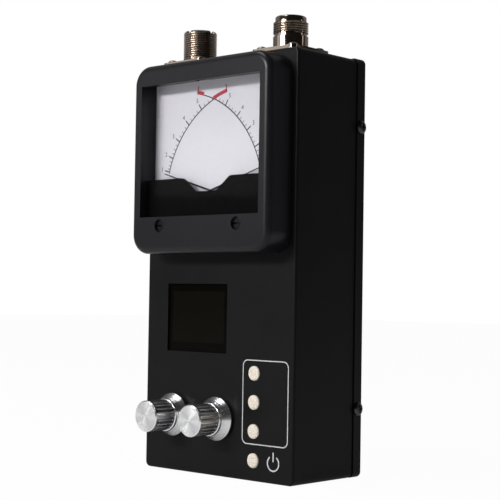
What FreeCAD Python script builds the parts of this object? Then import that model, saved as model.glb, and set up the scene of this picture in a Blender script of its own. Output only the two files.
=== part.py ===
import FreeCAD, Part
import os
import Sketcher

# An antenna analyzer: a hand-sized metal box with a cross-needle meter, a small display,
# two knobs, four push buttons and two coaxial jacks on its top.
# Millimetres, +X to the viewer's right, +Y to the back, +Z up.
# The origin is the centre of the bottom face.

doc = FreeCAD.newDocument("antenna_analyzer")
sheet = doc.addObject("Spreadsheet::Sheet", "sizes")

# Driving dimensions: alias, value, what it measures.
SIZES = [
    ("case_width", 92.0, "front case, side to side"),
    ("case_height", 190.0, "front case, bottom to top"),
    ("case_depth", 47.4, "front face to the back of the rear cover"),
    ("front_wall", 2.0, "front panel thickness"),
    ("side_wall", 2.0, "side, top and bottom wall thickness"),
    ("case_corner", 2.6, "corner radius seen from the front"),
    ("case_edge", 1.1, "rounding round the front panel"),
    ("seam_depth", 41.0, "front face to the cover's edge"),
    ("cover_proud", 0.5, "how far the cover stands outside the case"),
    ("cover_wall", 1.2, "cover flange thickness"),
    ("cover_back", 1.5, "cover back thickness"),
    ("seam_gap", 0.3, "open line between case and cover"),
    ("lip_play", 0.1, "play between the case lip and the cover"),
    ("boss_size", 8.0, "cover screw boss, square side"),
    ("boss_depth", 4.0, "cover screw boss, inwards from the wall"),
    ("screw_low", 31.0, "lower cover screws, height"),
    ("screw_high", 159.0, "upper cover screws, height"),
    ("screw_back", 44.0, "cover screws, from the front face"),
    ("screw_head", 3.0, "cover screw head radius"),
    ("screw_rise", 1.5, "cover screw head height"),
    ("screw_shank", 1.45, "screw shank radius"),
    ("screw_reach", 5.0, "screw shank length"),
    ("meter_width", 85.4, "meter housing, side to side"),
    ("meter_low", 100.1, "meter housing, lower edge height"),
    ("meter_high", 187.5, "meter housing, upper edge height"),
    ("meter_proud", 14.8, "meter housing, in front of the panel"),
    ("meter_corner", 9.0, "meter housing corner radius"),
    ("meter_edge", 3.0, "meter housing front edge rounding"),
    ("meter_wall", 3.0, "meter housing wall"),
    ("stud_inset", 6.0, "meter studs, in from the housing edges"),
    ("window_width", 73.8, "meter window, side to side"),
    ("window_low", 116.9, "meter window, lower edge height"),
    ("window_high", 177.8, "meter window, upper edge height"),
    ("lens_deep", 4.0, "lens front, behind the bezel face"),
    ("lens_thick", 1.2, "lens thickness"),
    ("dial_deep", 10.4, "dial front, behind the bezel face"),
    ("dial_thick", 0.8, "dial plate thickness"),
    ("mask_deep", 5.8, "mask front, behind the bezel face"),
    ("mask_thick", 1.0, "mask thickness"),
    ("mask_high", 134.7, "mask upper edge height"),
    ("mask_dip", 128.3, "lowest point of the mask's bowl"),
    ("notch_wide", 7.0, "notch above the window"),
    ("notch_tall", 1.5, "notch height"),
    ("barrel_reach", 24.0, "meter barrel, behind the front face"),
    ("barrel_wide", 66.0, "meter barrel, side to side"),
    ("barrel_low", 106.0, "meter barrel, lower edge height"),
    ("barrel_high", 174.0, "meter barrel, upper edge height"),
    ("needle_apart", 39.0, "between the two needle pivots"),
    ("needle_high", 123.0, "needle pivot height"),
    ("needle_reach", 50.5, "pivot to needle tip"),
    ("needle_rest", 16.6, "needle above the horizontal at rest, degrees"),
    ("needle_deep", 8.3, "needle front, behind the bezel face"),
    ("adjust_apart", 48.0, "between the zero adjusters"),
    ("adjust_high", 112.9, "zero adjuster height"),
    ("adjust_round", 2.9, "zero adjuster head radius"),
    ("turning_play", 0.06, "radial play of what turns"),
    ("display_left", -32.2, "display window, left edge"),
    ("display_right", 5.8, "display window, right edge"),
    ("display_low", 55.3, "display window, lower edge height"),
    ("display_high", 86.6, "display window, upper edge height"),
    ("display_sunk", 1.0, "display window, behind the panel face"),
    ("knob_high", 25.9, "knob axis height"),
    ("band_place", -27.0, "band knob, from the centre line"),
    ("tune_place", 1.0, "tuning knob, from the centre line"),
    ("knob_reach", 18.3, "knob face, in front of the panel"),
    ("knob_skirt", 9.85, "knob skirt radius"),
    ("knob_grip", 7.1, "knob grip radius"),
    ("knob_gap", 0.6, "knob skirt to panel"),
    ("shaft_round", 3.0, "control shaft radius"),
    ("bush_round", 3.45, "control bushing radius"),
    ("button_place", 23.0, "buttons, from the centre line"),
    ("button_low", 9.1, "lowest button height"),
    ("button_step", 12.76, "button spacing"),
    ("button_round", 3.2, "button radius"),
    ("button_rise", 0.8, "button, in front of the panel"),
    ("button_play", 0.15, "button to hole"),
    ("jack_place", 28.5, "jacks, each side of the centre line"),
    ("jack_back", 14.84, "jacks, behind the front face"),
    ("jack_high", 206.9, "top of the jacks"),
    ("thread_round", 7.94, "jack thread crest radius"),
    ("flange_side", 25.4, "jack flange, square side"),
    ("flange_thick", 1.8, "jack flange thickness"),
    ("flange_hole", 9.1, "jack flange screws, from its axes"),
    ("flange_bore", 1.5, "jack flange screw hole radius"),
    ("jack_bore", 6.2, "hole in the case top for a jack, radius"),
    ("jack_below", 9.0, "jack body, below the case top"),
    ("tail_below", 13.0, "jack contact tail, below the case top"),
    ("notch_half", 0.9, "half width of a notch in the threaded jack rim"),
    ("board_deep", 16.0, "main board front, behind the front face"),
    ("board_thick", 1.6, "main board thickness"),
    ("board_half", 41.0, "main board, half its width"),
    ("board_low", 6.0, "main board, lower edge height"),
    ("board_high", 98.0, "main board, upper edge height"),
    ("board_post", 37.0, "board spacers, from the centre line"),
    ("post_corner", 2.8, "hexagonal board spacer, across its corners, radius"),
    ("cell_round", 7.1, "battery cell radius"),
    ("cell_long", 50.2, "battery cell length"),
]
values = {}
for row, (alias, value, note) in enumerate(SIZES, start=1):
    sheet.set("A%d" % row, note)
    sheet.set("B%d" % row, str(value))
    sheet.setAlias("B%d" % row, alias)
    values[alias] = value
doc.recompute()


class Length:
    """A length with its value and the sheet expression that gives it."""

    def __init__(self, value, text=None):
        self.value = float(value)
        self.text = text if text is not None else repr(float(value))

    def join(self, other, sign, value):
        return Length(value, "(%s %s %s)" % (self.text, sign, other.text))

    def __add__(self, other):
        other = as_length(other)
        return self.join(other, "+", self.value + other.value)

    def __radd__(self, other):
        return as_length(other) + self

    def __sub__(self, other):
        other = as_length(other)
        return self.join(other, "-", self.value - other.value)

    def __rsub__(self, other):
        return as_length(other) - self

    def __mul__(self, other):
        other = as_length(other)
        return self.join(other, "*", self.value * other.value)

    def __rmul__(self, other):
        return as_length(other) * self

    def __truediv__(self, other):
        other = as_length(other)
        return self.join(other, "/", self.value / other.value)

    def __neg__(self):
        return Length(-self.value, "(-1 * %s)" % self.text)


def as_length(thing):
    return thing if isinstance(thing, Length) else Length(thing)


def size(alias):
    return Length(values[alias], "sizes.%s" % alias)


PIECES = []
FORWARD = FreeCAD.Rotation(FreeCAD.Vector(1, 0, 0), 90)
UPRIGHT = FreeCAD.Rotation()


def bind(obj, path, length):
    obj.setExpression(path, as_length(length).text)


def place(obj, x, y, z, turn=UPRIGHT):
    """Put an object at a bound place; FORWARD points its height at the viewer."""
    spot = [as_length(x), as_length(y), as_length(z)]
    obj.Placement = FreeCAD.Placement(FreeCAD.Vector(*[s.value for s in spot]), turn)
    for axis, s in zip("xyz", spot):
        bind(obj, "Placement.Base.%s" % axis, s)
    return obj


def keep(obj, label):
    """Count an object as a piece of the product."""
    obj.Label = label
    PIECES.append(obj)
    return obj


def block(name, x0, x1, y0, y1, z0, z1):
    obj = doc.addObject("Part::Box", name)
    x0, x1, y0, y1, z0, z1 = [as_length(v) for v in (x0, x1, y0, y1, z0, z1)]
    bind(obj, "Length", x1 - x0)
    bind(obj, "Width", y1 - y0)
    bind(obj, "Height", z1 - z0)
    return place(obj, x0, y0, z0)


def rod(name, radius, reach, x, y, z, turn=UPRIGHT):
    obj = doc.addObject("Part::Cylinder", name)
    bind(obj, "Radius", radius)
    bind(obj, "Height", reach)
    return place(obj, x, y, z, turn)


def joined(name, parts):
    obj = doc.addObject("Part::MultiFuse", name)
    obj.Shapes = parts
    return obj


def group(name, parts):
    obj = doc.addObject("Part::Compound", name)
    obj.Links = parts
    return obj


def without(name, base, tools):
    obj = doc.addObject("Part::Cut", name)
    obj.Base = base
    obj.Tool = tools[0] if len(tools) == 1 else joined(name + "_cutters", tools)
    return obj


def plane_of(body, role):
    for feature in body.Origin.OriginFeatures:
        if feature.Role == role:
            return feature
    raise ValueError(role)


def new_body(name):
    return doc.addObject("PartDesign::Body", name)


def sketch_on(body, role, offset, name):
    """A sketch on one of the body's own planes, moved along the plane's normal."""
    sketch = body.newObject("Sketcher::SketchObject", name)
    sketch.AttachmentSupport = [(plane_of(body, role), "")]
    sketch.MapMode = "FlatFace"
    offset = as_length(offset)
    sketch.AttachmentOffset = FreeCAD.Placement(FreeCAD.Vector(0, 0, offset.value), UPRIGHT)
    bind(sketch, "AttachmentOffset.Base.z", offset)
    return sketch


def fix_point(sketch, shape, point, u, v):
    """Hold a point of a sketch shape at a bound distance from the sketch origin."""
    for kind, length in (("DistanceX", as_length(u)), ("DistanceY", as_length(v))):
        if abs(length.value) < 1e-9:
            axis = -2 if kind == "DistanceX" else -1
            sketch.addConstraint(Sketcher.Constraint("PointOnObject", shape, point, axis))
            continue
        index = sketch.addConstraint(
            Sketcher.Constraint(kind, -1, 1, shape, point, length.value))
        sketch.setExpression("Constraints[%d]" % index, length.text)


def circle_in(sketch, u, v, radius):
    u, v, radius = as_length(u), as_length(v), as_length(radius)
    middle = FreeCAD.Vector(u.value, v.value, 0)
    index = sketch.addGeometry(Part.Circle(middle, FreeCAD.Vector(0, 0, 1), radius.value), False)
    fix_point(sketch, index, 3, u, v)
    row = sketch.addConstraint(Sketcher.Constraint("Radius", index, radius.value))
    sketch.setExpression("Constraints[%d]" % row, radius.text)


def rectangle_in(sketch, u0, u1, v0, v1):
    u0, u1, v0, v1 = [as_length(value) for value in (u0, u1, v0, v1)]
    corners = [(u0.value, v0.value), (u1.value, v0.value), (u1.value, v1.value), (u0.value, v1.value)]
    first = len(sketch.Geometry)
    for start, end in zip(corners, corners[1:] + corners[:1]):
        sketch.addGeometry(Part.LineSegment(FreeCAD.Vector(*start, 0), FreeCAD.Vector(*end, 0)), False)
    for step in range(4):
        sketch.addConstraint(Sketcher.Constraint(
            "Coincident", first + step, 2, first + (step + 1) % 4, 1))
        sketch.addConstraint(Sketcher.Constraint(
            "Horizontal" if step % 2 == 0 else "Vertical", first + step))
    fix_point(sketch, first, 1, u0, v0)
    fix_point(sketch, first + 2, 1, u1, v1)


def polygon_in(sketch, points):
    points = [(as_length(u), as_length(v)) for u, v in points]
    count = len(points)
    first = len(sketch.Geometry)
    for start, end in zip(points, points[1:] + points[:1]):
        sketch.addGeometry(Part.LineSegment(
            FreeCAD.Vector(start[0].value, start[1].value, 0),
            FreeCAD.Vector(end[0].value, end[1].value, 0)), False)
    for step in range(count):
        sketch.addConstraint(Sketcher.Constraint(
            "Coincident", first + step, 2, first + (step + 1) % count, 1))
    for step, (u, v) in enumerate(points):
        fix_point(sketch, first + step, 1, u, v)


def pad(body, sketch, length, name):
    feature = body.newObject("PartDesign::Pad", name)
    feature.Profile = sketch
    bind(feature, "Length", length)
    sketch.Visibility = False
    doc.recompute()
    return feature


def pocket(body, sketch, length, name):
    """Cut a sketch into the body, and refuse a cut that takes nothing away."""
    before = body.Shape.Volume
    feature = body.newObject("PartDesign::Pocket", name)
    feature.Profile = sketch
    bind(feature, "Length", length)
    doc.recompute()
    if body.Shape.Volume > before - 0.01:
        raise RuntimeError("nothing cut by " + name)
    return feature


def round_edges(body, chosen, radius, name):
    """Round the edges of the body that the test picks out by their middle and direction."""
    base = body.Tip
    names = []
    for number, edge in enumerate(base.Shape.Edges, start=1):
        middle = edge.valueAt((edge.FirstParameter + edge.LastParameter) / 2)
        along = edge.tangentAt((edge.FirstParameter + edge.LastParameter) / 2)
        if chosen(middle, along):
            names.append("Edge%d" % number)
    feature = body.newObject("PartDesign::Fillet", name)
    feature.Base = (base, names)
    bind(feature, "Radius", radius)
    doc.recompute()
    return feature


def turned(name, profile, x, y, z, turn=UPRIGHT):
    """A revolved piece from (radius, distance) points along its own axis."""
    body = new_body(name)
    sketch = body.newObject("Sketcher::SketchObject", name + "_profile")
    sketch.AttachmentSupport = [(plane_of(body, "XZ_Plane"), "")]
    sketch.MapMode = "FlatFace"
    polygon_in(sketch, profile)
    feature = body.newObject("PartDesign::Revolution", name + "_turn")
    feature.Profile = sketch
    feature.ReferenceAxis = (sketch, ["V_Axis"])
    feature.Angle = 360
    doc.recompute()
    place(body, x, y, z, turn)
    return body


# Planes and places that several pieces share.
half_width = size("case_width") / 2
face = -size("case_depth") / 2
back = size("case_depth") / 2
seam = face + size("seam_depth")
inner_face = face + size("front_wall")
screw_y = face + size("screw_back")
bezel = face - size("meter_proud")
meter_half = size("meter_width") / 2
barrel_half = size("barrel_wide") / 2
window_half = size("window_width") / 2
pivot_x = size("needle_apart") / 2
adjust_x = size("adjust_apart") / 2
board_y = face + size("board_deep")
jack_y = face + size("jack_back")
stud_x = meter_half - size("stud_inset")
case_top = size("case_height")
jack_foot = case_top - size("jack_below")
tail_end = case_top - size("tail_below")
flange_top = case_top + size("flange_thick")
cover_inner = half_width + size("cover_proud") - size("cover_wall")
lip_outer = cover_inner - size("lip_play")
BUTTONS = ["power_button", "button_1", "button_2", "button_3"]


def button_height(step):
    return size("button_low") + step * size("button_step")


def screw_spots():
    """Side of the case and height of each of the four cover screws."""
    return [(side, height) for side in (-1, 1) for height in (size("screw_low"), size("screw_high"))]


def make_front_case():
    body = new_body("front_case")
    outline = sketch_on(body, "XZ_Plane", -seam, "case_outline")
    rectangle_in(outline, -half_width, half_width, 0, case_top)
    pad(body, outline, size("seam_depth"), "case_block")
    round_edges(body, lambda m, t: abs(t.y) > 0.9, size("case_corner"), "case_corners")
    round_edges(body, lambda m, t: abs(m.y - face.value) < 0.01, size("case_edge"), "case_front_edge")
    lip = sketch_on(body, "XZ_Plane", -(back - size("cover_back") - size("lip_play")), "lip_outline")
    rectangle_in(lip, -lip_outer, lip_outer, size("cover_wall"), case_top + size("cover_proud")
                 - size("cover_wall") - size("lip_play"))
    pad(body, lip, size("case_depth") - size("seam_depth"), "case_lip")
    hollow = sketch_on(body, "XZ_Plane", -inner_face, "case_hollow")
    inner = half_width - size("side_wall")
    rectangle_in(hollow, -inner, inner, size("side_wall"), case_top - size("side_wall"))
    pocket(body, hollow, size("case_depth"), "case_inside")
    bosses = sketch_on(body, "XZ_Plane", -(back - size("cover_back") - size("lip_play")), "boss_outline")
    for side, height in screw_spots():
        near = side * (inner - size("boss_depth"))
        far = side * (lip_outer - 0.3)
        low, high = (near, far) if side > 0 else (far, near)
        rectangle_in(bosses, low, high, height - size("boss_size") / 2, height + size("boss_size") / 2)
    pad(body, bosses, size("boss_size"), "screw_bosses")
    threads = sketch_on(body, "YZ_Plane", half_width + 1, "screw_threads")
    for height in (size("screw_low"), size("screw_high")):
        circle_in(threads, screw_y, height, size("screw_shank"))
    pocket(body, threads, size("case_width") + 2, "screw_threads_cut")
    holes = sketch_on(body, "XZ_Plane", -face + 1, "panel_holes")
    rectangle_in(holes, -barrel_half - 0.5, barrel_half + 0.5,
                 size("barrel_low") - 0.5, size("barrel_high") + 0.5)
    rectangle_in(holes, size("display_left"), size("display_right"),
                 size("display_low"), size("display_high"))
    for spot in (size("band_place"), size("tune_place")):
        circle_in(holes, spot, size("knob_high"), size("bush_round") + 0.1)
    for step in range(len(BUTTONS)):
        circle_in(holes, size("button_place"), button_height(step),
                  size("button_round") + size("button_play"))
    for side in (-1, 1):
        for height in (size("meter_low") + size("stud_inset"), size("meter_high") - size("stud_inset")):
            circle_in(holes, side * stud_x, height, 1.6)
    pocket(body, holes, size("front_wall") + 2, "panel_holes_cut")
    tops = sketch_on(body, "XY_Plane", case_top + 1, "jack_holes")
    for side in (-1, 1):
        circle_in(tops, side * size("jack_place"), jack_y, size("jack_bore"))
        for across in (-1, 1):
            for along in (-1, 1):
                circle_in(tops, side * size("jack_place") + across * size("flange_hole"),
                          jack_y + along * size("flange_hole"), 1.3)
    pocket(body, tops, size("side_wall") + 2, "jack_holes_cut")
    return keep(body, "front_case")


def make_rear_cover():
    body = new_body("rear_cover")
    outer = half_width + size("cover_proud")
    front = seam + size("seam_gap")
    outline = sketch_on(body, "XZ_Plane", -back, "cover_outline")
    rectangle_in(outline, -outer, outer, 0, case_top + size("cover_proud"))
    pad(body, outline, back - front, "cover_block")
    round_edges(body, lambda m, t: abs(t.y) > 0.9, size("case_corner"), "cover_corners")
    round_edges(body, lambda m, t: abs(m.y - back.value) < 0.01, size("case_edge"), "cover_edge")
    hollow = sketch_on(body, "XZ_Plane", -front + 1, "cover_hollow")
    rectangle_in(hollow, -cover_inner, cover_inner, size("cover_wall") - size("lip_play"),
                 case_top + size("cover_proud") - size("cover_wall"))
    pocket(body, hollow, back - size("cover_back") - front + 1, "cover_inside")
    holes = sketch_on(body, "YZ_Plane", half_width + 2, "cover_holes")
    for height in (size("screw_low"), size("screw_high")):
        circle_in(holes, screw_y, height, size("screw_shank") + 0.15)
    pocket(body, holes, size("case_width") + 4, "cover_holes_cut")
    return keep(body, "rear_cover")


def pan_screw(name, radius, rise, shank, reach, x, y, z, turn):
    """A pan head screw; the underside of its head stands on the place given."""
    radius = as_length(radius)
    rise = as_length(rise)
    return turned(name, [
        (0, -as_length(reach)), (shank, -as_length(reach)), (shank, 0), (radius, 0),
        (radius * 0.86, rise), (0, rise)], x, y, z, turn)


def make_side_screws():
    screws = []
    seat = half_width + size("cover_proud")
    for number, (side, height) in enumerate(screw_spots()):
        turn = FreeCAD.Rotation(FreeCAD.Vector(0, 1, 0), 90 * side)
        screws.append(pan_screw("side_screw_%d" % number, size("screw_head"), size("screw_rise"),
                                size("screw_shank"), size("screw_reach"),
                                side * seat, screw_y, height, turn))
    return keep(group("side_screw_group", screws), "side_screws")


def make_meter_case():
    body = new_body("meter_case")
    outline = sketch_on(body, "XZ_Plane", -face, "housing_outline")
    rectangle_in(outline, -meter_half, meter_half, size("meter_low"), size("meter_high"))
    pad(body, outline, size("meter_proud"), "housing_block")
    round_edges(body, lambda m, t: abs(t.y) > 0.9, size("meter_corner"), "housing_corners")
    round_edges(body, lambda m, t: abs(m.y - bezel.value) < 0.01, size("meter_edge"), "bezel_edge")
    barrel = sketch_on(body, "XZ_Plane", -(face + size("barrel_reach")), "barrel_outline")
    rectangle_in(barrel, -barrel_half, barrel_half, size("barrel_low"), size("barrel_high"))
    pad(body, barrel, size("barrel_reach"), "barrel")
    inside = sketch_on(body, "XZ_Plane", -(bezel + size("lens_deep")), "housing_hollow")
    rectangle_in(inside, -window_half - 1.2, window_half + 1.2,
                 size("window_low") - 12, size("window_high") + 2)
    depth = size("meter_proud") - size("meter_wall") - size("lens_deep")
    pocket(body, inside, depth, "housing_inside")
    window = sketch_on(body, "XZ_Plane", -bezel + 1, "window_outline")
    rectangle_in(window, -window_half, window_half, size("window_low"), size("window_high"))
    pocket(body, window, size("lens_deep") + 2, "window")
    notch = sketch_on(body, "XZ_Plane", -bezel - 1, "notch_outline")
    rectangle_in(notch, -size("notch_wide") / 2, size("notch_wide") / 2,
                 size("window_high") - 0.5, size("window_high") + size("notch_tall"))
    pocket(body, notch, size("lens_deep"), "notch")
    adjusters = sketch_on(body, "XZ_Plane", -bezel + 1, "adjuster_holes")
    for side in (-1, 1):
        circle_in(adjusters, side * adjust_x, size("adjust_high"),
                  size("adjust_round") + size("turning_play"))
    pocket(body, adjusters, size("lens_deep") + 2, "adjuster_holes_cut")
    bore = sketch_on(body, "XZ_Plane", -(face - size("meter_wall") - 0.5), "barrel_bore")
    rectangle_in(bore, -barrel_half + size("meter_wall"), barrel_half - size("meter_wall"),
                 size("barrel_low") + size("meter_wall"), size("barrel_high") - size("meter_wall"))
    pocket(body, bore, size("barrel_reach") + 0.5, "barrel_inside")
    return keep(body, "meter_case")


def make_meter_lens():
    front = bezel + size("lens_deep")
    lens = block("meter_lens_pane", -window_half - 1, window_half + 1,
                 front, front + size("lens_thick"), size("window_low") - 0.9, size("window_high") + 1.7)
    return keep(lens, "meter_lens")


def make_meter_dial():
    front = bezel + size("dial_deep")
    plate = block("dial_plate", -window_half - 1, window_half + 1,
                  front, front + size("dial_thick"), size("window_low") - 6, size("window_high") + 1.7)
    holes = [rod("dial_hole_%d" % side, 2.4, 4, side * pivot_x, front + 2, size("needle_high"), FORWARD)
             for side in (-1, 1)]
    return keep(without("dial_with_holes", plate, holes), "meter_dial")


def make_meter_mask():
    body = new_body("meter_mask")
    back_face = bezel + size("mask_deep") + size("mask_thick")
    low = size("window_low") - 0.7
    outline = sketch_on(body, "XZ_Plane", -back_face, "mask_outline")
    half = window_half + 1
    shoulder = 14.5
    floor = 6.5
    high = size("mask_high")
    dip = size("mask_dip")
    polygon_in(outline, [(-half, low), (half, low), (half, high), (shoulder, high), (floor, dip),
                         (-floor, dip), (-shoulder, high), (-half, high)])
    pad(body, outline, size("mask_thick"), "mask_plate")
    round_edges(body, lambda m, t: abs(t.y) > 0.9 and abs(m.x) < 20, 4.0, "mask_bowl")
    return keep(body, "meter_mask")


def make_movement(name, side):
    """The coil and magnet behind the dial, with the pivot that its needle turns on."""
    front = bezel + size("dial_deep") + size("dial_thick") + 0.2
    rear = face + size("barrel_reach") - size("meter_wall") - 1
    x = side * pivot_x
    z = size("needle_high")
    magnet = rod(name + "_magnet", 10.2, rear - front - 2, x, rear, z, FORWARD)
    core = rod(name + "_core", 6.5, 2, x, front + 2, z, FORWARD)
    pivot = rod(name + "_pivot", 0.8, 4.2, x, front, z, FORWARD)
    foot = block(name + "_foot", x - 5, x + 5, rear, rear + 1, z - 8, z + 8)
    return keep(joined(name + "_whole", [magnet, core, pivot, foot]), name)


def make_needle(name, side, layer):
    """A needle on its hub, with the tail and weight that balance it."""
    thick = 0.4
    hub = rod(name + "_hub_blank", 2.0, 1.2, 0, 0.6, 0, FORWARD)
    blade = block(name + "_blade", 1, size("needle_reach") - 9, -thick / 2, thick / 2, -0.4, 0.4)
    tip = block(name + "_tip", size("needle_reach") - 9.5, size("needle_reach"),
                -thick / 2, thick / 2, -0.2, 0.2)
    tail = block(name + "_tail", -7, -1, -thick / 2, thick / 2, -0.6, 0.6)
    weight = rod(name + "_weight", 1.5, 1.1, -6, 0.55, 0, FORWARD)
    whole = joined(name + "_blank", [hub, blade, tip, tail, weight])
    needle = without(name + "_bored", whole, [
        rod(name + "_bore", 0.8 + size("turning_play"), 4, 0, 2, 0, FORWARD)])
    angle = values["needle_rest"] if side < 0 else 180 - values["needle_rest"]
    turn = FreeCAD.Rotation(FreeCAD.Vector(0, 1, 0), -angle)
    place(needle, side * pivot_x, bezel + size("needle_deep") + layer, size("needle_high"), turn)
    return keep(needle, name)


def make_adjuster(name, side):
    """A slotted zero adjuster in the bezel, with the off-centre pin that nudges the needle."""
    front = bezel + 1.1
    long = size("lens_deep") + 0.6
    x = side * adjust_x
    z = size("adjust_high")
    head = rod(name + "_head", size("adjust_round"), long, x, front + long, z, FORWARD)
    pin = rod(name + "_pin", 0.6, 2.6, x + 1.4, front + long + 2.4, z, FORWARD)
    slot = block(name + "_slot", x - 4, x + 4, front - 1, front + 1, z - 0.4, z + 0.4)
    return keep(without(name + "_slotted", joined(name + "_blank", [head, pin]), [slot]), name)


def make_meter_nuts():
    """Studs and nuts that hold the meter to the panel."""
    parts = []
    for side in (-1, 1):
        for height in (size("meter_low") + size("stud_inset"), size("meter_high") - size("stud_inset")):
            tag = "%d_%d" % (side, height.value)
            stud = rod("stud_" + tag.replace("-", "m"), 1.5, 7, side * stud_x, face + 7,
                       height, FORWARD)
            nut = doc.addObject("Part::Prism", "nut_" + tag.replace("-", "m"))
            nut.Polygon = 6
            bind(nut, "Circumradius", 3.1)
            bind(nut, "Height", 2.4)
            place(nut, side * stud_x, inner_face + 2.4, height, FORWARD)
            parts.append(joined("stud_and_nut_" + tag.replace("-", "m"), [stud, nut]))
    return keep(group("meter_fixings", parts), "meter_nuts")


def make_display():
    left = size("display_left")
    right = size("display_right")
    low = size("display_low")
    high = size("display_high")
    front = face + size("display_sunk")
    pane = block("display_pane", left + 0.15, right - 0.15, front, inner_face + 0.5, low + 0.15, high - 0.15)
    rim = block("display_rim", left - 1.5, right + 1.5, inner_face, inner_face + 0.8, low - 1.5, high + 1.5)
    keep(joined("display_window_whole", [pane, rim]), "display_window")
    frame = block("module_frame", left - 1, right + 1, inner_face + 0.9, inner_face + 4, low - 1, high + 1)
    card = block("module_card", left - 1.5, right + 1.5, inner_face + 4, inner_face + 5.6, low - 5, high + 5)
    pins = block("module_pins", left + 4, left + 24, inner_face + 5.6, board_y, low - 4, low - 1.5)
    keep(joined("display_module_whole", [frame, card, pins]), "display_module")


def make_knob(name, x, flutes):
    """A spun metal knob: polished flared skirt, fluted grip and flat turned face."""
    reach = size("knob_reach")
    skirt = size("knob_skirt")
    grip = size("knob_grip")
    gap = size("knob_gap")
    profile = [(size("shaft_round"), gap + 3.9), (6.3, gap + 3.9), (6.3, gap), (skirt - 0.3, gap),
               (skirt, gap + 0.3), (skirt, gap + 1.0), (skirt - 0.35, gap + 1.5),
               (grip + 1.3, gap + 3.2), (grip + 0.55, gap + 4.6), (grip + 0.35, gap + 5.6),
               (grip, gap + 5.9), (grip, reach - 0.5), (grip - 0.5, reach), (0, reach),
               (0, reach - 3), (size("shaft_round"), reach - 3)]
    body = turned(name, profile, x, face, size("knob_high"), FORWARD)
    rim = sketch_on(body, "XY_Plane", reach - 1.6, name + "_flute")
    polygon_in(rim, [(grip - 0.38, 0), (grip + 0.3, -0.62), (grip + 0.3, 0.62)])
    flute = pocket(body, rim, reach - 1.6 - gap - 6.6, name + "_flute_cut")
    pattern = body.newObject("PartDesign::PolarPattern", name + "_flutes")
    pattern.Originals = [flute]
    pattern.Axis = (rim, ["N_Axis"])
    pattern.Angle = 360
    pattern.Occurrences = flutes
    body.Tip = pattern
    doc.recompute()
    keep(body, name)


def make_control(name, knob, x, round_body):
    """A panel control: its case and threaded bushing stay, its shaft turns with the knob."""
    z = size("knob_high")
    bush_front = face - 3.8
    deep = 9.0
    if round_body:
        case = rod(name + "_can", 9.2, deep, x, inner_face + deep, z, FORWARD)
    else:
        case = block(name + "_can", x - 8, x + 8, inner_face, inner_face + deep, z - 8, z + 8)
    bush = rod(name + "_bush", size("bush_round"), inner_face - bush_front + 0.1, x, inner_face + 0.1,
               z, FORWARD)
    bore = rod(name + "_bore", size("shaft_round") + size("turning_play"), 18, x, face + 9.2, z, FORWARD)
    keep(without(name + "_bored", joined(name + "_blank", [case, bush]), [bore]), name)
    keep(rod(knob + "_spindle", size("shaft_round"), size("knob_reach") - 3 + 9, x, face + 9, z, FORWARD),
         knob.replace("knob", "shaft"))
    nut = doc.addObject("Part::Prism", name + "_nut_blank")
    nut.Polygon = 6
    bind(nut, "Circumradius", 5.6)
    bind(nut, "Height", 2.0)
    place(nut, x, face, z, FORWARD)
    hole = rod(name + "_nut_hole", size("bush_round"), 6, x, face + 2, z, FORWARD)
    keep(without(name + "_nut_bored", nut, [hole]), name.split("_")[0] + "_nut")


def make_button(name, step):
    """A push button: domed cap, stem, and the collar that stops it behind the panel."""
    z = button_height(step)
    round_cap = size("button_round")
    rise = size("button_rise")
    collar_front = -size("front_wall") - 0.05
    stem_end = -(size("board_deep") - 4.2 - 0.6)
    body = turned(name, [
        (0, stem_end), (1.7, stem_end), (1.7, collar_front - 1.5), (round_cap + 0.9, collar_front - 1.5),
        (round_cap + 0.9, collar_front), (round_cap, collar_front), (round_cap, rise - 0.45),
        (round_cap - 0.3, rise - 0.15), (round_cap - 0.9, rise), (0, rise + 0.12)],
        size("button_place"), face, z, FORWARD)
    keep(body, name)


def make_tact_switches():
    parts = []
    x = size("button_place")
    for step in range(len(BUTTONS)):
        z = button_height(step)
        can = block("tact_can_%d" % step, x - 3, x + 3, board_y - 3.5, board_y, z - 3, z + 3)
        plunger = rod("tact_plunger_%d" % step, 1.75, 1.2, x, board_y - 3.0, z, FORWARD)
        parts.append(joined("tact_%d" % step, [can, plunger]))
    keep(group("tact_group", parts), "tact_switches")


BOARD_HOLES = [(side, height) for side in (-1, 1) for height in (12.0, 92.0)]


def make_board():
    plate = block("board_plate", -size("board_half"), size("board_half"), board_y,
                  board_y + size("board_thick"), size("board_low"), size("board_high"))
    holes = [rod("board_hole_%d" % number, 1.6, 6, side * size("board_post"), board_y + 4, height, FORWARD)
             for number, (side, height) in enumerate(BOARD_HOLES)]
    keep(without("board_drilled", plate, holes), "main_board")
    posts = []
    screws = []
    for number, (side, height) in enumerate(BOARD_HOLES):
        post = doc.addObject("Part::Prism", "spacer_%d" % number)
        post.Polygon = 6
        bind(post, "Circumradius", size("post_corner"))
        bind(post, "Height", board_y - inner_face)
        place(post, side * size("board_post"), board_y, height, FORWARD)
        bore = rod("spacer_bore_%d" % number, 1.5, 8, side * size("board_post"), board_y + 1, height, FORWARD)
        posts.append(without("spacer_bored_%d" % number, post, [bore]))
        screws.append(pan_screw("board_screw_%d" % number, 2.7, 1.6, 1.45, 6, side * size("board_post"),
                                board_y + size("board_thick"), height,
                                FreeCAD.Rotation(FreeCAD.Vector(1, 0, 0), -90)))
    keep(group("spacers", posts), "board_spacers")
    keep(group("board_screw_group", screws), "board_screws")


def make_shield():
    rear = board_y + size("board_thick")
    outer = block("shield_outer", -38, -2, rear, rear + 6, 60, 88)
    inner = block("shield_inner", -37.5, -2.5, rear - 1, rear + 5.5, 60.5, 87.5)
    keep(without("shield_folded", outer, [inner]), "shield_can")


CELL_ROWS = 2
CELLS_ACROSS = 3


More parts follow.
